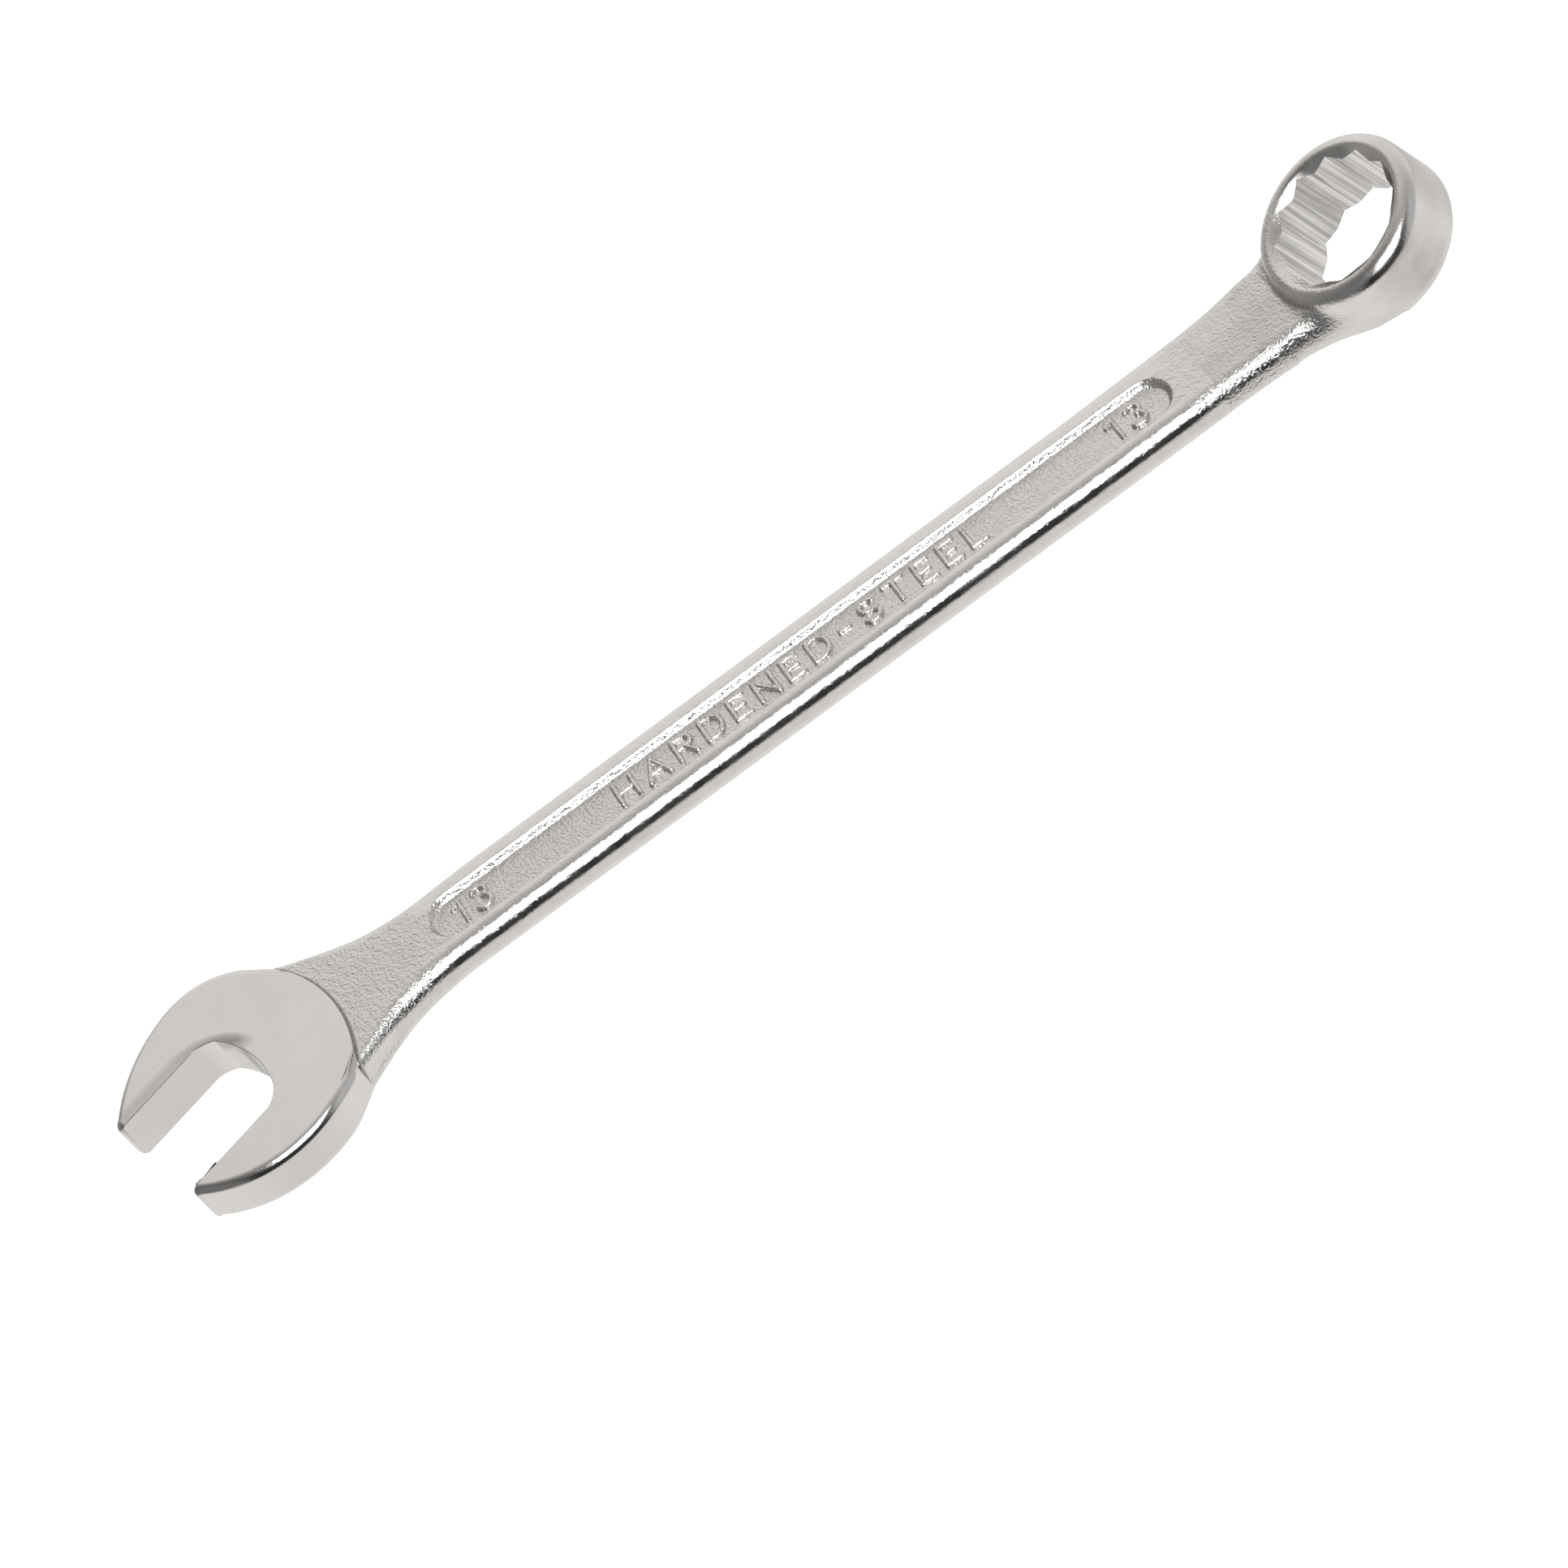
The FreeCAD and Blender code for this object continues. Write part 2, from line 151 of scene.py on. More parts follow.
def verts_in(geom):
    return [g for g in geom if isinstance(g, bmesh.types.BMVert)]


def finish_piece(obj, node, materials, sharp):
    """Brings obj to metres, shades it smooth up to sharp degrees and puts it in node's place."""
    obj.data.transform(Matrix.Scale(MM, 4))
    for polygon in obj.data.polygons:
        polygon.use_smooth = True
    obj.data.set_sharp_from_angle(angle=math.radians(sharp))
    kept = [polygon.material_index for polygon in obj.data.polygons]
    obj.data.materials.clear()
    for material in materials:
        obj.data.materials.append(material)
    obj.data.polygons.foreach_set("material_index", kept)
    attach(obj, "root")
    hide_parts(node)


def smooth_step(t):
    t = min(max(t, 0.0), 1.0)
    return t * t * (3 - 2 * t)


# --- outlines -----------------------------------------------------------------------------

def bearing(centre, point):
    return math.degrees(math.atan2(point[1] - centre[1], point[0] - centre[0]))


def arc_to(centre, start, end, step=0.35):
    """The move along an arc about centre from start to end, the short way round."""
    sweep = (bearing(centre, end) - bearing(centre, start) + 180) % 360 - 180
    radius = math.dist(centre, start)
    count = max(3, round(abs(math.radians(sweep)) * radius / step))
    return centre, sweep, count


def centre_of(a, b, radius):
    """Centre of the arc of that radius from a to b, on the left of the way to b."""
    mid = Vector(((a[0] + b[0]) / 2, (a[1] + b[1]) / 2))
    way = Vector((b[0] - a[0], b[1] - a[1]))
    reach = math.sqrt(radius ** 2 - (way.length / 2) ** 2)
    left = Vector((-way.y, way.x)).normalized()
    return tuple(mid + left * reach)


def arc_of(radius, start, end, step=0.35):
    return arc_to(centre_of(start, end, radius), start, end, step)


def trace(bm, start, moves):
    """Draws a closed outline from start and fills it. A move is (centre, degrees, steps)
    for an arc or a point for a straight run."""
    vert = bm.verts.new((*start, 0))
    first = vert
    for move in moves:
        if isinstance(move[0], tuple):
            centre, turn, steps = move
            made = bmesh.ops.spin(bm, geom=[vert], cent=(*centre, 0), axis=(0, 0, 1),
                                  angle=math.radians(turn), steps=steps)
            vert = verts_in(made["geom_last"])[0]
        else:
            vert = bmesh.ops.extrude_vert_indiv(bm, verts=[vert])["verts"][0]
            vert.co = (*move, 0)
    bm.edges.new((vert, first))
    return bmesh.ops.contextual_create(bm, geom=bm.edges[:])["faces"][0]


def block(bm, outline, half):
    """Adds an upright block with that outline, from half below to half above, to bm."""
    fresh = bmesh.new()
    face = trace(fresh, *outline)
    bmesh.ops.translate(fresh, verts=fresh.verts, vec=(0, 0, -half))
    raised = bmesh.ops.extrude_face_region(fresh, geom=[face])["geom"]
    bmesh.ops.translate(fresh, verts=verts_in(raised), vec=(0, 0, 2 * half))
    close_up(fresh)
    made = bpy.data.meshes.new("block")
    fresh.to_mesh(made)
    fresh.free()
    bm.from_mesh(made)
    bpy.data.meshes.remove(made)


# --- open end -----------------------------------------------------------------------------

STEP_CENTRE = centre_of(LOW_JOIN, TOP_JOIN, STEP_R)


def jaw_point(x, y):
    """From the jaw's own turned axes to the part's."""
    c, s = math.cos(JAW_TURN), math.sin(JAW_TURN)
    return x * c - y * s, x * s + y * c


def blank_outline():
    """The open end before its jaws are cut, anticlockwise from behind the step."""
    back_low, back_top = (20.0, -4.5129), (18.5, 7.5722)
    crown, cheek, long_tip = (12.3166, 13.0578), (2.0680, 14.8313), (-7.30, 6.48)
    short_tip, short_back = (-3.415, -8.508), (16.2345, -7.8561)
    long_end, short_end = jaw_point(-6.02, JAW_HALF + 0.62), jaw_point(-5.85, -JAW_HALF - 0.5)
    return back_low, [
        back_top,
        crown,
        arc_to((5.7599, 5.6670), crown, cheek),
        arc_to((9.0090, -2.3982), cheek, long_tip),
        arc_of(1.15, long_tip, long_end, 0.2),
        short_end,
        arc_of(1.2, short_end, short_tip, 0.2),
        arc_to((6.010, 3.659), short_tip, short_back),
    ]


def mouth_outline():
    """The gap between the jaws, its mouth corners eased, anticlockwise from outside."""
    low_lip, low_flat = jaw_point(-5.779, -6.780), jaw_point(-5.45, -JAW_HALF)
    low_turn, throat_low = jaw_point(5.6, -JAW_HALF), jaw_point(8.15, -3.6)
    throat_top, top_turn = jaw_point(7.2, 5.4), jaw_point(5.3, JAW_HALF)
    top_flat, top_lip = jaw_point(-5.35, JAW_HALF), jaw_point(-5.961, 6.978)
    return jaw_point(-12, -9.8), [
        jaw_point(-6.88, -9.8),
        low_lip,
        arc_to(jaw_point(-5.45, -6.9), low_lip, low_flat, 0.1),
        low_turn,
        arc_of(3.6, low_turn, throat_low),
        arc_of(11.8, throat_low, throat_top),
        arc_of(6.0, throat_top, top_turn),
        top_flat,
        arc_to(jaw_point(-5.35, 7.2), top_flat, top_lip, 0.1),
        jaw_point(-6.99, 9.8),
        jaw_point(-12, 9.8),
    ]


def on_step(degrees):
    a = math.radians(degrees)
    return STEP_CENTRE[0] + STEP_R * math.cos(a), STEP_CENTRE[1] + STEP_R * math.sin(a)


def behind_step_outline():
    """All that lies behind the curved step, well past the open end's edges."""
    high, low = on_step(48), on_step(-28)
    return high, [arc_to(STEP_CENTRE, high, low), (26, -14), (26, 18)]


def settle_back(bm):
    """Near the short jaw the faces run out into the shank instead of stepping down."""
    step = HEAD_HALF - HALF_THICK
    for vert in bm.verts:
        x, y, z = vert.co
        to_back = smooth_step((x - 12.5) / 4.2)
        if z < 0:
            to_edge = smooth_step((-3.5 - y) / 3)
        else:
            to_edge = 0.8 * smooth_step((-5.2 - y) / 1.6)
        vert.co.z -= step * to_back * to_edge * z / HEAD_HALF


def open_end(material):
    bm = bmesh.new()
    block(bm, blank_outline(), HEAD_HALF)
    rims = [e for e in bm.edges if abs(e.verts[0].co.z - e.verts[1].co.z) < 0.01]
    bmesh.ops.bevel(bm, geom=rims, offset=HEAD_ROUND, offset_type="OFFSET", segments=8,
                    profile=0.5, affect="EDGES", clamp_overlap=False, material=-1)
    obj = keep_mesh(bm, "open_end")
    cuts = bmesh.new()
    for outline in (mouth_outline(), behind_step_outline()):
        block(cuts, outline, 5)
    cut_away(obj, keep_mesh(cuts, "open_end_cutter"), "MANIFOLD")
    crisp = obj.modifiers.new("crisp", "BEVEL")
    crisp.limit_method = "ANGLE"
    crisp.angle_limit = math.radians(55)
    crisp.width = CUT_EDGE
    crisp.segments = 2
    crisp.use_clamp_overlap = False
    bake_modifiers(obj)
    reshape(obj, settle_back)
    finish_piece(obj, "open_end_head", [material], 40)
    obj.modifiers.new("face_normals", "WEIGHTED_NORMAL").keep_sharp = True


# --- shank and neck -----------------------------------------------------------------------

def flare(x, from_x, radius):
    """How much the shank is wider at x, on its way to the open end."""
    if x >= from_x:
        return 0.0
    return radius - math.sqrt(radius ** 2 - (from_x - x) ** 2)


def fuller_back(x):
    """The forging's back edge is a little fuller than its front one, most before the ring."""
    more = 0.34 * smooth_step((x - 26) / 12) + 0.24 * smooth_step((x - 112) / 14)
    return more * (1 - smooth_step((x - 134) / 9))


def neck_part(x, power):
    """How far the neck has grown at x. With a higher power it starts later."""
    return (max(0.0, x - NECK_FROM) / NECK_RUN) ** power


def section_point(x, turn):
    """A point of the shank's cross-section at station x; turn goes once round from 0 to 1.
    Most points go to the recess wall and the rounded edge."""
    floor_end, wall_end, edge_end = 0.2, 0.65, 0.96      # shares of a quarter turn
    floor_part = 0.63                                    # of the flat
    quarter = math.cos(2 * math.pi * turn), math.sin(2 * math.pi * turn)
    up, right = (1 if quarter[1] >= 0 else -1), (1 if quarter[0] >= 0 else -1)
    share = math.atan2(abs(quarter[0]), abs(quarter[1])) / (math.pi / 2)

    thick = HALF_THICK + NECK_THICKER * neck_part(x, 4.3)
    wide = HALF_WIDE + NECK_WIDER * neck_part(x, 3.35)
    wide += flare(x, *BACK_FLARE) + fuller_back(x) if right > 0 else flare(x, *FRONT_FLARE)
    near_head = smooth_step((25 - x) / 8)
    edge_r = EDGE_R - (EDGE_R - HEAD_ROUND) * near_head
    flat = wide - edge_r
    if share < floor_end:
        y, z = share / floor_end * floor_part * flat, thick
    elif share < wall_end:
        passed = (share - floor_end) / (wall_end - floor_end)
        y, z = (floor_part + passed * (1 - floor_part)) * flat, thick
    else:
        angle = min((share - wall_end) / (edge_end - wall_end), 1.0) * math.pi / 2
        y = flat + edge_r * math.sin(angle)
        z = thick - edge_r + edge_r * math.cos(angle)
        if share > edge_end:
            z = (thick - edge_r) * (1 - share) / (1 - edge_end)
    return Vector((x, AXIS_Y + right * y, NECK_RISE * neck_part(x, 2) + up * z))


def recess_drop(x, y):
    beyond = max(RECESS_FROM - x, x - RECESS_TO, 0.0)
    outside = math.hypot(beyond, y - AXIS_Y) - RECESS_HALF
    return RECESS_DEEP * smooth_step(0.5 - outside / WALL_RUN)


def press_recess(bm):
    for vert in bm.verts:
        drop = recess_drop(vert.co.x, vert.co.y)
        if drop > 0:
            vert.co.z -= math.copysign(drop, vert.co.z)


def bar(bm, stations, around):
    """Adds a closed bar along X whose cross-sections follow section_point."""
    made = bmesh.ops.create_circle(bm, segments=around, radius=1, cap_ends=True)
    upright = Matrix.Rotation(math.radians(90), 4, "Y") @ Matrix.Rotation(math.radians(90), 4, "Z")
    bmesh.ops.transform(bm, matrix=upright, verts=made["verts"])
    bmesh.ops.translate(bm, verts=made["verts"], vec=(stations[0], 0, 0))
    shell = set(made["verts"])
    cap = next(f for f in bm.faces if set(f.verts) == shell)
    back = bmesh.ops.duplicate(bm, geom=[cap])
    shell.update(verts_in(back["geom"]))
    for before, here in zip(stations, stations[1:]):
        grown = bmesh.ops.extrude_face_region(bm, geom=[cap])["geom"]
        cap = next(g for g in grown if isinstance(g, bmesh.types.BMFace))
        ahead = verts_in(grown)
        bmesh.ops.translate(bm, verts=ahead, vec=(here - before, 0, 0))
        shell.update(ahead)
    for vert in shell:
        if vert.is_valid:
            turn = math.atan2(vert.co.z, vert.co.y) / (2 * math.pi)
            vert.co = section_point(vert.co.x, turn % 1.0)


def spaced(first, last, step):
    """Even stations about step apart, from first up to last, which is left out."""
    count = max(1, round((last - first) / step))
    return [first + (last - first) * i / count for i in range(count)]


def shank(material):
    """Its stations are closest together across the recess's round ends."""
    runs = [(SHANK_FROM, 30.4, 0.4), (30.4, 34.2, 0.09), (34.2, 120.8, 0.6),
            (120.8, 124.8, 0.09), (124.8, SEAM_X, 0.3)]
    stations = [x for run in runs for x in spaced(*run)] + [SEAM_X]
    bm = bmesh.new()
    bar(bm, stations, 176)
    close_up(bm)
    press_recess(bm)
    obj = keep_mesh(bm, "shank_bar")
    finish_piece(obj, "shank", [material], 60)


# --- ring end -----------------------------------------------------------------------------

def to_ring():
    """From the ring's own upright axes to the part's."""
    return Matrix.Translation(RING_CENTRE) @ Matrix.Rotation(-RING_TILT, 4, "Y")


def ring_wall(bm):
    """The ring before it is bored: a disc with a rounded heel and a rolled front rim."""
    heel, rim = 1.5, 1.5                 # radii of the outer edges
    inner, lead = 0.6, 38                # radius inside the rim, and slope of the lead-in
    lead_end = 6.4                       # inside the bore
    low, high = -RING_HALF, RING_HALF

    def run(vert, x, z):
        made = bmesh.ops.extrude_vert_indiv(bm, verts=[vert])["verts"][0]
        made.co = (x, 0, z)
        return made

    def bend(vert, x, z, degrees, steps):
        made = bmesh.ops.spin(bm, geom=[vert], cent=(x, 0, z), axis=(0, -1, 0),
                              angle=math.radians(degrees), steps=steps)
        return verts_in(made["geom_last"])[0]

    vert = bm.verts.new((0, 0, low))
    vert = run(vert, RING_R - heel, low)
    vert = bend(vert, RING_R - heel, low + heel, 90, 8)
    vert = run(vert, RING_R, high - rim)
    vert = bend(vert, RING_R - rim, high - rim, 90, 8)
    vert = bend(vert, RING_R - rim, high - inner, lead, 6)
    fall = (vert.co.x - lead_end) * math.tan(math.radians(lead))
    vert = run(vert, lead_end, vert.co.z - fall)
    run(vert, 0, vert.co.z)
    bmesh.ops.spin(bm, geom=bm.verts[:] + bm.edges[:], cent=(0, 0, 0), axis=(0, 0, 1),
                   angle=math.radians(360), steps=120, use_merge=True)
    close_up(bm)
    bmesh.ops.transform(bm, matrix=to_ring(), verts=bm.verts)


def bore_cutter():
    """A bi-hex bar: twelve corners and, between them, twelve crests."""
    half_long, apart = 8, 15
    bm = bmesh.new()
    made = bmesh.ops.create_circle(bm, segments=360 // apart, radius=1, cap_ends=True)
    for vert in made["verts"]:
        step = round(math.degrees(math.atan2(vert.co.y, vert.co.x)) / apart)
        reach = BORE_CORNER_R if step % 2 == 0 else BORE_CREST_R
        angle = math.radians(apart * step)
        vert.co = (reach * math.cos(angle), reach * math.sin(angle), -half_long)
    raised = bmesh.ops.extrude_face_region(bm, geom=bm.faces[:])["geom"]
    bmesh.ops.translate(bm, verts=verts_in(raised), vec=(0, 0, 2 * half_long))
    bmesh.ops.recalc_face_normals(bm, faces=bm.faces)
    bmesh.ops.transform(bm, matrix=to_ring(), verts=bm.verts)
    return keep_mesh(bm, "bore_cutter")


def in_ring(point):
    """Distance from the ring's axis and height along it."""
    local = to_ring().inverted() @ point
    return math.hypot(local.x, local.y), local.z


def in_junction(point):
    """Is the point beside the inside corner where the neck grows out of the ring?"""
    if not 132 < point.x < 148:
        return False
    out, up = in_ring(point)
    return 8.7 < out < 14.5 and -5 < up < 2.9


def soften_junction(bm):
    relax(bm, bm.verts)
    near = [vert for vert in bm.verts if in_junction(vert.co)]
    for _ in range(130):
        relax(bm, near)


def trim_at_seam(bm):
    cut = bmesh.ops.bisect_plane(bm, geom=bm.verts[:] + bm.edges[:] + bm.faces[:], dist=1e-5,
                                 plane_co=(SEAM_X, 0, 0), plane_no=(1, 0, 0), clear_inner=True)
    rim = [g for g in cut["geom_cut"] if isinstance(g, bmesh.types.BMEdge)]
    bmesh.ops.contextual_create(bm, geom=rim)


def mark_bore(bm):
    """Gives the bore's wall the second material."""
    along = to_ring().to_3x3() @ Vector((0, 0, 1))
    for face in bm.faces:
        out, _ = in_ring(face.calc_center_median())
        if out < BORE_CORNER_R + 0.01 and abs(face.normal.dot(along)) < 0.05:
            face.material_index = 1


def ring_end(wall, bore):
    """The neck starts before the seam, so that it is trimmed there to a clean section."""
    bm = bmesh.new()
    ring_wall(bm)
    bar(bm, spaced(121.0, NECK_END, 0.5) + [NECK_END], 96)
    close_up(bm)
    obj = keep_mesh(bm, "ring_end")
    reskin(obj, 0.2)
    bake_modifiers(obj)
    reshape(obj, soften_junction)
    reshape(obj, trim_at_seam)
    cut_away(obj, bore_cutter(), "EXACT")
    reshape(obj, mark_bore)
    finish_piece(obj, "ring_head", [wall, bore], 32)


# --- raised marks -------------------------------------------------------------------------

def curve_points(cx, cy, rx, ry, first, last, count=9):
    """Points along an ellipse about (cx, cy), from first to last degrees."""
    turn = [math.radians(first + (last - first) * i / (count - 1)) for i in range(count)]
    return [(cx + rx * math.cos(a), cy + ry * math.sin(a)) for a in turn]


# Strokes on a cell 1 high; the number is the cell's width.
STROKES = {
    "H": (0.72, [[(0, 0), (0, 1)], [(0.72, 0), (0.72, 1)], [(0, 0.5), (0.72, 0.5)]]),
    "A": (0.84, [[(0, 0), (0.42, 1), (0.84, 0)], [(0.16, 0.34), (0.68, 0.34)]]),
    "R": (0.70, [[(0, 0), (0, 1)] + curve_points(0.42, 0.76, 0.26, 0.24, 90, -90)
                 + [(0, 0.52)], [(0.38, 0.52), (0.70, 0)]]),
    "D": (0.74, [[(0, 0), (0, 1)] + curve_points(0.30, 0.5, 0.44, 0.5, 90, -90) + [(0, 0)]]),
    "E": (0.60, [[(0.60, 0), (0, 0), (0, 1), (0.60, 1)], [(0, 0.5), (0.50, 0.5)]]),
    "N": (0.74, [[(0, 0), (0, 1), (0.74, 0), (0.74, 1)]]),
    "-": (0.50, [[(0.05, 0.5), (0.45, 0.5)]]),
    "S": (0.66, [curve_points(0.33, 0.755, 0.31, 0.245, 25, 235, 11)
                 + curve_points(0.33, 0.245, 0.33, 0.255, 62, -155, 13)]),
    "T": (0.76, [[(0, 1), (0.76, 1)], [(0.38, 1), (0.38, 0)]]),
    "L": (0.56, [[(0, 1), (0, 0), (0.56, 0)]]),
    "1": (0.34, [[(0, 0.78), (0.30, 1), (0.30, 0)]]),
    "3": (0.58, [curve_points(0.27, 0.76, 0.28, 0.24, 150, -75, 11)
                 + curve_points(0.27, 0.27, 0.31, 0.27, 72, -150, 13)]),
}


def bead(bm, a, b, radius):
    """A bar from a to b with a ball at b."""
    bmesh.ops.create_uvsphere(bm, u_segments=12, v_segments=8, radius=radius,
                              matrix=Matrix.Translation(b))
    way = b - a
    turn = way.to_track_quat("Z", "Y").to_matrix().to_4x4()
    bmesh.ops.create_cone(bm, cap_ends=True, segments=12, radius1=radius, radius2=radius,
                          depth=way.length, matrix=Matrix.Translation((a + b) / 2) @ turn)


def raised_mark(text, middle_x, name, node, material):
    """Letters of round-ended strokes, melted into one skin that stands on the recess floor."""
    radius = MARK_STROKE / 2
    height = MARK_TALL - MARK_STROKE
    gap = MARK_GAP + MARK_STROKE
    wide = sum(STROKES[letter][0] for letter in text) * height + gap * (len(text) - 1)
    x = middle_x - wide / 2
    bm = bmesh.new()
    for letter in text:
        cell, strokes = STROKES[letter]
        for stroke in strokes:
            points = [Vector((x + px * height, AXIS_Y - height / 2 + py * height, 0))
                      for px, py in stroke]
            bead(bm, points[1], points[0], radius)
            for a, b in zip(points, points[1:]):
                bead(bm, a, b, radius)
        x += cell * height + gap
    bmesh.ops.scale(bm, verts=bm.verts, vec=(1, 1, MARK_RAISE / radius))
    bmesh.ops.translate(bm, verts=bm.verts, vec=(0, 0, HALF_THICK - RECESS_DEEP))
    obj = keep_mesh(bm, name)
    reskin(obj, 0.08)
    melt = obj.modifiers.new("melt", "SMOOTH")
    melt.factor = 0.5
    melt.iterations = 3
    bake_modifiers(obj)
    finish_piece(obj, node, [material], 80)


# --- finishes -----------------------------------------------------------------------------

class Wiring:
    """A node tree, and the helpers that grow a pattern in it."""

    def __init__(self, tree):
        self.nodes, self.links = tree.nodes, tree.links

    def node(self, kind, links=(), **values):
        """Links are pairs of a socket and what goes into it, a value or another's output."""
        made = self.nodes.new(kind)
        for name, value in values.items():
            setattr(made, name, value)
        for socket, source in links:
            if isinstance(source, (int, float, tuple)):
                made.inputs[socket].default_value = source
            else:
                self.links.new(source, made.inputs[socket])
        return made

    def axes(self, vector):
        return self.node("ShaderNodeSeparateXYZ", [("Vector", vector)]).outputs

    def maths(self, operation, a, b=0.0, c=None):
        links = [(0, a), (1, b)] + ([(2, c)] if c is not None else [])
        return self.node("ShaderNodeMath", links, operation=operation).outputs[0]

    def ease(self, value, start, end, low=0.0, high=1.0):
        """Goes smoothly from low to high as value goes from start to end."""
        made = self.node("ShaderNodeMapRange", [("Value", value), ("From Min", start),
                                                ("From Max", end), ("To Min", low),
                                                ("To Max", high)],
                         interpolation_type="SMOOTHSTEP")
        return made.outputs["Result"]


class Finish(Wiring):
    """A chrome finish. Lengths in it are in metres."""

    def __init__(self, name, colour, roughness):
        self.material = bpy.data.materials.new(name)
        self.material.use_nodes = True
        super().__init__(self.material.node_tree)
        self.shader = self.nodes["Principled BSDF"]
        self.shader.inputs["Base Color"].default_value = (*colour, 1)
        self.shader.inputs["Metallic"].default_value = 1.0
        self.shader.inputs["Roughness"].default_value = roughness
        self.place = self.nodes.new("ShaderNodeTexCoord").outputs["Object"]

    def turned(self, **how):
        """Places in axes that are turned, or stretched, with the mapping's own settings."""
        links = [("Vector", self.place)] + [(name.title(), value) for name, value in how.items()]
        return self.node("ShaderNodeMapping", links, vector_type="TEXTURE").outputs["Vector"]

    def noise(self, scale, detail=2.0, rough=0.5, place=None):
        made = self.node("ShaderNodeTexNoise", [("Vector", place or self.place),
                                                ("Scale", scale), ("Detail", detail),
                                                ("Roughness", rough)])
        return made.outputs["Fac"]

    def bump(self, height, depth, under=None):
        """Height from 0 to 1 stands depth metres proud."""
        links = [("Height", height), ("Distance", depth), ("Strength", 1.0)]
        if under is not None:
            links.append(("Normal", under))
        return self.node("ShaderNodeBump", links).outputs["Normal"]

    def wear(self, low, high, scale):
        """Roughness that drifts between low and high."""
        self.links.new(self.ease(self.noise(scale, 3.0), 0.35, 0.65, low, high),
                       self.shader.inputs["Roughness"])

    def tint(self, dark, light, share):
        """Goes from dark to light as share goes from 0 to 1."""
        mixed = self.node("ShaderNodeMix", [("Factor", share), ("A", (*dark, 1)),
                                            ("B", (*light, 1))], data_type="RGBA")
        self.links.new(mixed.outputs["Result"], self.shader.inputs["Base Color"])

    def clouds(self, pattern):
        """Spreads a noise, which is mostly near a half, out to 0 and 1."""
        return self.ease(pattern, 0.3, 0.7)

    def done(self, normal):
        self.links.new(normal, self.shader.inputs["Normal"])
        return self.material


CHROME_DARK, CHROME_LIGHT = (0.60, 0.58, 0.56), (0.68, 0.665, 0.65)
SATIN_DARK = (0.655, 0.637, 0.62)
STEP_CORNER_SHADE = (0.30, 0.28, 0.26)                 # painted shade: the colour goes dark in the step's corner, where shade falls
SCORE_DARK, SCORE_LIGHT = (0.42, 0.41, 0.40), (0.86, 0.85, 0.84)
PEEL, SWELL = 2800.0, 650.0                      # noise scales of the forging's two grains
SWELL_DEEP = 0.000030


def step_corner_shade(finish):
    """Mask for painted shade: is 0 in the corner at the foot of the open end's step, where shade
    falls, and 1 away from it.
    """
    centre = tuple(v * MM for v in (*STEP_CENTRE, HALF_THICK))
    apart = finish.node("ShaderNodeVectorMath", [(0, finish.place), (1, centre)],
                        operation="DISTANCE").outputs["Value"]
    away = finish.ease(apart, (STEP_R + 0.12) * MM, (STEP_R + 0.42) * MM)
    for _ in range(2):
        away = finish.ease(away, 0.0, 1.0)       # each pass makes the edge crisper
    return away


def forged_chrome():
    """Plating over a grainy forging, coarsest on the recess floor and past its two ends."""
    finish = Finish("forged_chrome", CHROME_LIGHT, 0.18)
    finish.wear(0.13, 0.24, 500.0)
    # painted shade: the base colour darkens in the corner at the foot of the step
    finish.tint(STEP_CORNER_SHADE, CHROME_LIGHT, step_corner_shade(finish))
    along, across, height = finish.axes(finish.place)
    beside = finish.maths("ABSOLUTE", finish.maths("SUBTRACT", across, AXIS_Y * MM))
    floors = finish.ease(beside, 0.0022, 0.0030, 1.0, 0.3)
    near_head = finish.ease(along, 0.0285, 0.0325, 0.9, 0.0)
    near_ring = finish.ease(along, 0.1225, 0.1265, 0.0, 0.9)
    ends = finish.maths("MAXIMUM", near_head, near_ring)
    off_edge = finish.ease(finish.maths("ABSOLUTE", height), 0.0004, 0.0013, 0.3, 1.0)
    coarse = finish.maths("MULTIPLY", finish.maths("MAXIMUM", ends, floors), off_edge)
    peel = finish.maths("MULTIPLY", finish.noise(PEEL, 2.0, 0.6), coarse)
    swell = finish.bump(finish.noise(SWELL, 1.0), SWELL_DEEP)
    return finish.done(finish.bump(peel, 0.000150, swell))


def jaw_dish(finish):
    """Falls off toward the long jaw's edge and the throat beside it, where the face was
    dressed. The hollow is a long round-ended one, in the jaw's own axes."""
    dish_end, dish_in, dish_out = 0.0021, 0.0060, 0.0084
    x, y, _ = finish.axes(finish.turned(rotation=(0.0, 0.0, JAW_TURN)))
    past = finish.maths("MAXIMUM", finish.maths("SUBTRACT", x, dish_end), 0.0)
    square = finish.maths("ADD", finish.maths("POWER", past, 2.0), finish.maths("POWER", y, 2.0))
    fall = finish.ease(finish.maths("SQRT", square), dish_in, dish_out, 1.0, 0.0)
    side = finish.ease(y, 0.0005, 0.0035)
    return finish.maths("SUBTRACT", 1.0, finish.maths("MULTIPLY", fall, side))


def satin_chrome():
    """The open end: smooth, with the dressed hollow beside its long jaw."""
    finish = Finish("satin_chrome", CHROME_LIGHT, 0.16)
    finish.tint(SATIN_DARK, CHROME_LIGHT, finish.clouds(finish.noise(120.0)))
    finish.wear(0.13, 0.18, 300.0)
    swell = finish.bump(finish.noise(260.0, 1.0), 0.000010)
    dished = finish.bump(jaw_dish(finish), 0.00036, swell)
    return finish.done(finish.bump(finish.noise(2600.0), 0.000010, dished))


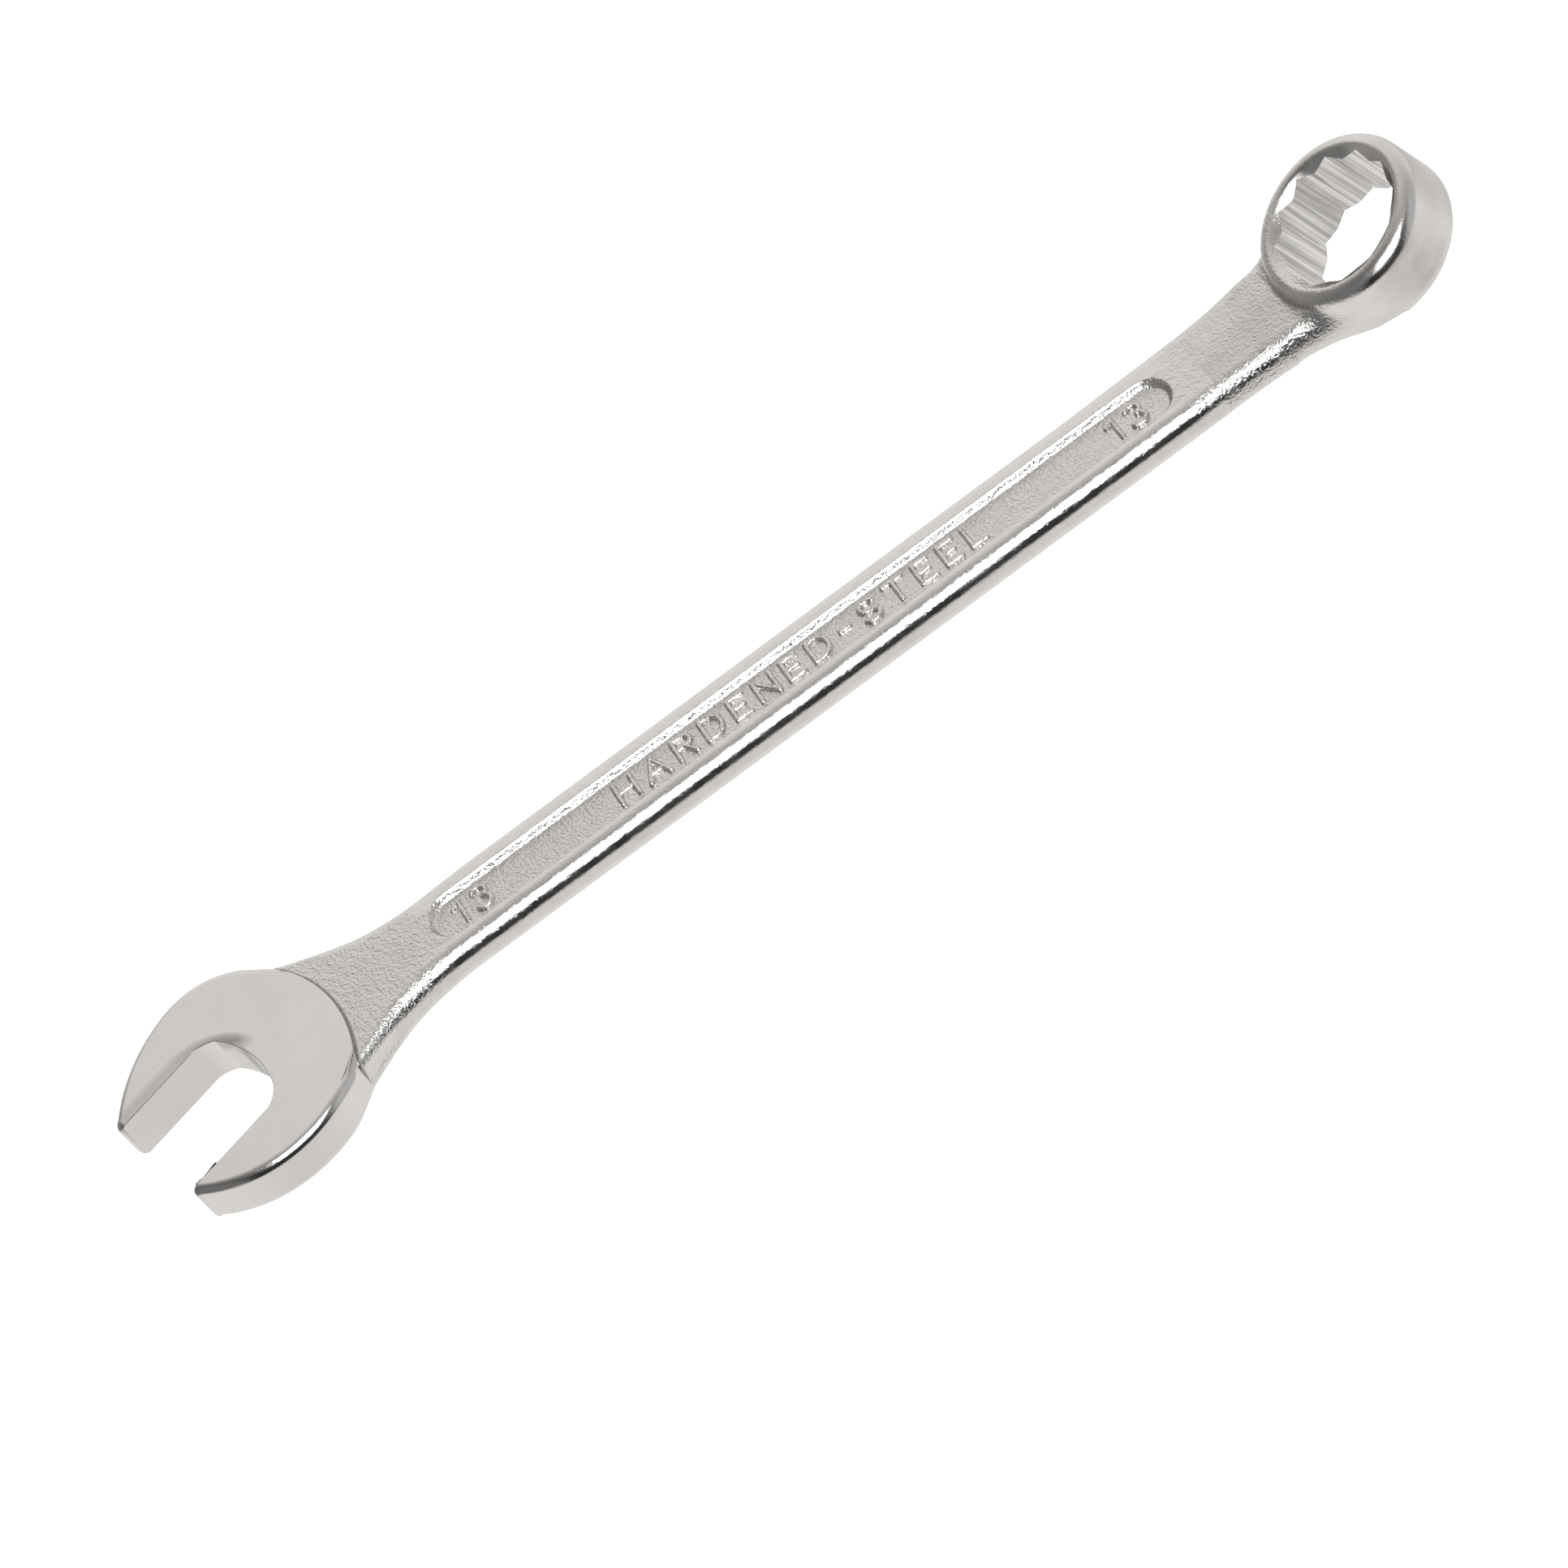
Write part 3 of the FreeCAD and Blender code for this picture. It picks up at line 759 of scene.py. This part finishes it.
def ring_chrome():
    """The ring: the forging's grain fades out away from the neck."""
    finish = Finish("ring_chrome", CHROME_LIGHT, 0.22)
    finish.tint(CHROME_DARK, CHROME_LIGHT, finish.clouds(finish.noise(160.0)))
    finish.wear(0.17, 0.27, 350.0)
    along = finish.axes(finish.place)["X"]
    grainy = finish.ease(along, 0.136, 0.147, 1.0, 0.12)
    peel = finish.maths("MULTIPLY", finish.noise(PEEL, 2.0, 0.6), grainy)
    swell = finish.maths("MULTIPLY", finish.noise(SWELL, 1.0), grainy)
    return finish.done(finish.bump(peel, 0.000135, finish.bump(swell, SWELL_DEEP)))


def broached_chrome():
    """The bore: scores that run along it, over broader waves."""
    finish = Finish("broached_chrome", CHROME_LIGHT, 0.26)
    tilt = (0.0, -RING_TILT, 0.0)
    fine = finish.turned(scale=(0.00035, 0.00035, 0.02), rotation=tilt)
    wide = finish.turned(scale=(0.0011, 0.0011, 0.05), rotation=tilt)
    scores = finish.noise(1.0, 3.0, 0.6, fine)
    waves = finish.noise(1.0, 1.0, 0.5, wide)
    finish.tint(SCORE_DARK, SCORE_LIGHT, finish.clouds(scores))
    return finish.done(finish.bump(scores, 0.000080, finish.bump(waves, 0.000250)))


# --- studio -------------------------------------------------------------------------------

MIDDLE_X = 0.07                                  # the wrench's middle, in metres

CAMERA_LENS, CAMERA_SENSOR = 123.0, 36.0
CAMERA_AIM, CAMERA_AWAY = Vector((68.66, -8.69, 0.0)), 541.9
CAMERA_HEADING, CAMERA_LEAN, CAMERA_ROLL = 0.959, 42.562, -37.081    # degrees

# Brightness of the room round the shank's axis: degrees from overhead to the camera's side.
SKY = [(-180, 1.0), (-137, 0.78), (-118, 0.75), (-92, 1.0), (-45, 0.98), (-12, 0.6), (14, 0.42),
       (58, 0.04), (117, 0.04), (130, 0.85), (150, 1.0), (180, 1.0)]
ROOM_TINT = (1.0, 0.985, 0.965)


def studio_camera():
    """Looks down from in front, rolled so that the wrench lies from corner to corner."""
    data = bpy.data.cameras.new("studio_camera")
    data.lens = CAMERA_LENS
    data.sensor_width = CAMERA_SENSOR
    camera = bpy.data.objects.new("studio_camera", data)
    turn = (Matrix.Rotation(math.radians(CAMERA_HEADING), 4, "Z")
            @ Matrix.Rotation(math.radians(CAMERA_LEAN), 4, "X")
            @ Matrix.Rotation(math.radians(CAMERA_ROLL), 4, "Z"))
    back_off = Matrix.Translation((0, 0, CAMERA_AWAY * MM))
    camera.matrix_world = Matrix.Translation(CAMERA_AIM * MM) @ turn @ back_off
    bpy.context.scene.collection.objects.link(camera)
    bpy.context.scene.camera = camera


def studio_floor():
    """Pale paper just under the wrench. It isn't mirrored, so the room alone shades the chrome."""
    half_size, clear = 3.0, 0.0002
    bm = bmesh.new()
    bmesh.ops.create_grid(bm, x_segments=1, y_segments=1, size=half_size)
    bmesh.ops.translate(bm, verts=bm.verts, vec=(MIDDLE_X, 0, cad_box[0][2] - clear))
    obj = keep_mesh(bm, "studio_floor")
    paper = bpy.data.materials.new("pale_paper")
    paper.use_nodes = True
    shader = paper.node_tree.nodes["Principled BSDF"]
    shader.inputs["Base Color"].default_value = (0.95, 0.95, 0.95, 1)
    shader.inputs["Roughness"].default_value = 0.9
    shader.inputs["Specular IOR Level"].default_value = 0.1
    shader.inputs["Emission Color"].default_value = (1, 1, 1, 1)
    shader.inputs["Emission Strength"].default_value = 0.6
    obj.data.materials.append(paper)
    obj.visible_glossy = False


def sky(room, y, z):
    """The room's brightness by the angle round the shank's axis."""
    angle = room.maths("ARCTAN2", room.maths("MULTIPLY", y, -1.0), z)
    share = room.node("ShaderNodeMapRange", [("Value", angle), ("From Min", -math.pi),
                                             ("From Max", math.pi)])
    ramp = room.node("ShaderNodeValToRGB", [(0, share.outputs[0])])
    stops = ramp.color_ramp.elements
    while len(stops) > 1:
        stops.remove(stops[-1])
    for number, (degrees, level) in enumerate(SKY):
        where = (degrees + 180) / 360
        stop = stops[0] if number == 0 else stops.new(where)
        stop.position = where
        stop.color = (*(level * part for part in ROOM_TINT), 1)
    return ramp.outputs[0]


def studio_room():
    """A white tent, darker overhead, with a dark gap low on the camera's side. Toward both
    ends the gap is filled, and the open end's side is dimmer, except below."""
    world = bpy.data.worlds.new("studio_room")
    bpy.context.scene.world = world
    world.use_nodes = True
    world.node_tree.nodes.clear()
    room = Wiring(world.node_tree)
    x, y, z = room.axes(room.node("ShaderNodeTexCoord").outputs["Generated"])
    ends = room.ease(room.maths("ABSOLUTE", x), 0.45, 0.7, 0.0, 0.6)
    filled = room.node("ShaderNodeVectorMath", [(0, sky(room, y, z)), (1, ends)],
                       operation="MAXIMUM").outputs[0]
    side = room.maths("MULTIPLY_ADD", room.maths("MINIMUM", z, 0.0), -1.5, x)
    dimmer = room.ease(side, -0.52, -0.04, 0.36, 1.0)
    shade = room.node("ShaderNodeVectorMath", [(0, filled), ("Scale", dimmer)],
                      operation="SCALE").outputs[0]
    seen = room.node("ShaderNodeLightPath").outputs["Is Camera Ray"]
    white = (1, 1, 1, 1)
    mix = room.node("ShaderNodeMix", [("Factor", seen), ("A", shade), ("B", white)],
                    data_type="RGBA")
    glow = room.node("ShaderNodeBackground", [(0, mix.outputs["Result"])])
    room.node("ShaderNodeOutputWorld", [(0, glow.outputs[0])])


def softbox(name, angle, distance, wide, tall, power):
    """A lamp over the wrench's middle, angle degrees down from overhead on the camera's side."""
    data = bpy.data.lights.new(name, "AREA")
    data.shape = "RECTANGLE"
    data.size = wide
    data.size_y = tall
    data.energy = power
    lamp = bpy.data.objects.new(name, data)
    lean = math.radians(angle)
    lamp.location = (MIDDLE_X, -math.sin(lean) * distance, math.cos(lean) * distance)
    lamp.rotation_euler = (lean, 0, 0)
    lamp.visible_camera = False
    bpy.context.scene.collection.objects.link(lamp)


studio_camera()
studio_floor()
studio_room()
softbox("front_softbox", angle=42.0, distance=0.7, wide=0.44, tall=0.55, power=3.4)
bpy.context.scene.view_settings.view_transform = "Standard"

forged, satin = forged_chrome(), satin_chrome()
open_end(satin)
shank(forged)
ring_end(ring_chrome(), broached_chrome())
raised_mark("13", OPEN_MARK_X, "size_13_open_end", "size_mark_open_end", forged)
raised_mark("13", RING_MARK_X, "size_13_ring_end", "size_mark_ring_end", forged)
raised_mark("HARDENED-STEEL", WORDS_X, "raised_words", "raised_lettering", forged)
